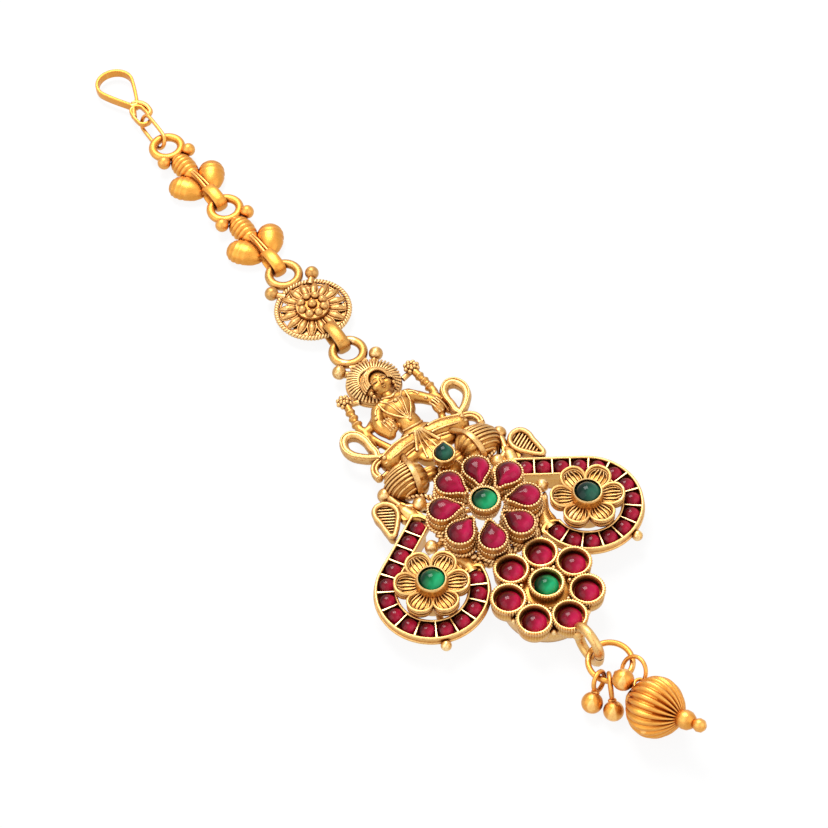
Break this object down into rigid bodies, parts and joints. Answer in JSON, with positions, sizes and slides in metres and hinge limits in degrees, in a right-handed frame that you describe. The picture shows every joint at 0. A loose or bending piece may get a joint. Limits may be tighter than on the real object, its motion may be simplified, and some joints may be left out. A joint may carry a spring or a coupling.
{
  "type": "maang tikka",
  "caption": "Forehead jewel in temple style: hook, ornamental links, and a pendant with seated goddess, paisley sides, stone flowers and hanging drops.",
  "frame": {"origin": "middle of the bottom of the bounding box, on the surface the ornament lies on", "axes": "+Y along the chain from the drops to the hook, +Z out of the ornament's face, +X to the wearer's left"},
  "size_m": [0.046, 0.1698, 0.0093],
  "materials": {
    "gold": "matt antique gold plating",
    "ruby": "polished ruby-red kemp cabochon",
    "green": "polished green kemp cabochon"
  },
  "bodies": {
    "root": {"ball_drop_1": "gold", "ball_drop_2": "gold", "ball_drop_3": "gold", "channel_ruby_left_01": "ruby", "channel_ruby_left_02": "ruby", "channel_ruby_left_03": "ruby", "channel_ruby_left_04": "ruby", "channel_ruby_left_05": "ruby", "channel_ruby_left_06": "ruby", "channel_ruby_left_07": "ruby", "channel_ruby_left_08": "ruby", "channel_ruby_left_09": "ruby", "channel_ruby_left_10": "ruby", "channel_ruby_left_11": "ruby", "channel_ruby_left_12": "ruby", "channel_ruby_left_13": "ruby", "channel_ruby_left_14": "ruby", "channel_ruby_right_01": "ruby", "channel_ruby_right_02": "ruby", "channel_ruby_right_03": "ruby", "channel_ruby_right_04": "ruby", "channel_ruby_right_05": "ruby", "channel_ruby_right_06": "ruby", "channel_ruby_right_07": "ruby", "channel_ruby_right_08": "ruby", "channel_ruby_right_09": "ruby", "channel_ruby_right_10": "ruby", "channel_ruby_right_11": "ruby", "channel_ruby_right_12": "ruby", "channel_ruby_right_13": "ruby", "channel_ruby_right_14": "ruby", "drop_ring": "gold", "green_drop": "green", "green_left": "green", "green_lower": "green", "green_right": "green", "green_upper": "green", "hook": "gold", "hook_ring": "gold", "melon_drop": "gold", "melon_ring": "gold", "pear_ruby_1": "ruby", "pear_ruby_2": "ruby", "pear_ruby_3": "ruby", "pear_ruby_4": "ruby", "pear_ruby_5": "ruby", "pear_ruby_6": "ruby", "pear_ruby_7": "ruby", "pear_ruby_8": "ruby", "pendant_frame": "gold", "round_ruby_1": "ruby", "round_ruby_2": "ruby", "round_ruby_3": "ruby", "round_ruby_4": "ruby", "round_ruby_5": "ruby", "round_ruby_6": "ruby", "round_ruby_7": "ruby", "sun_link": "gold", "trefoil_link_1": "gold", "trefoil_link_2": "gold"}
  },
  "joints": []
}
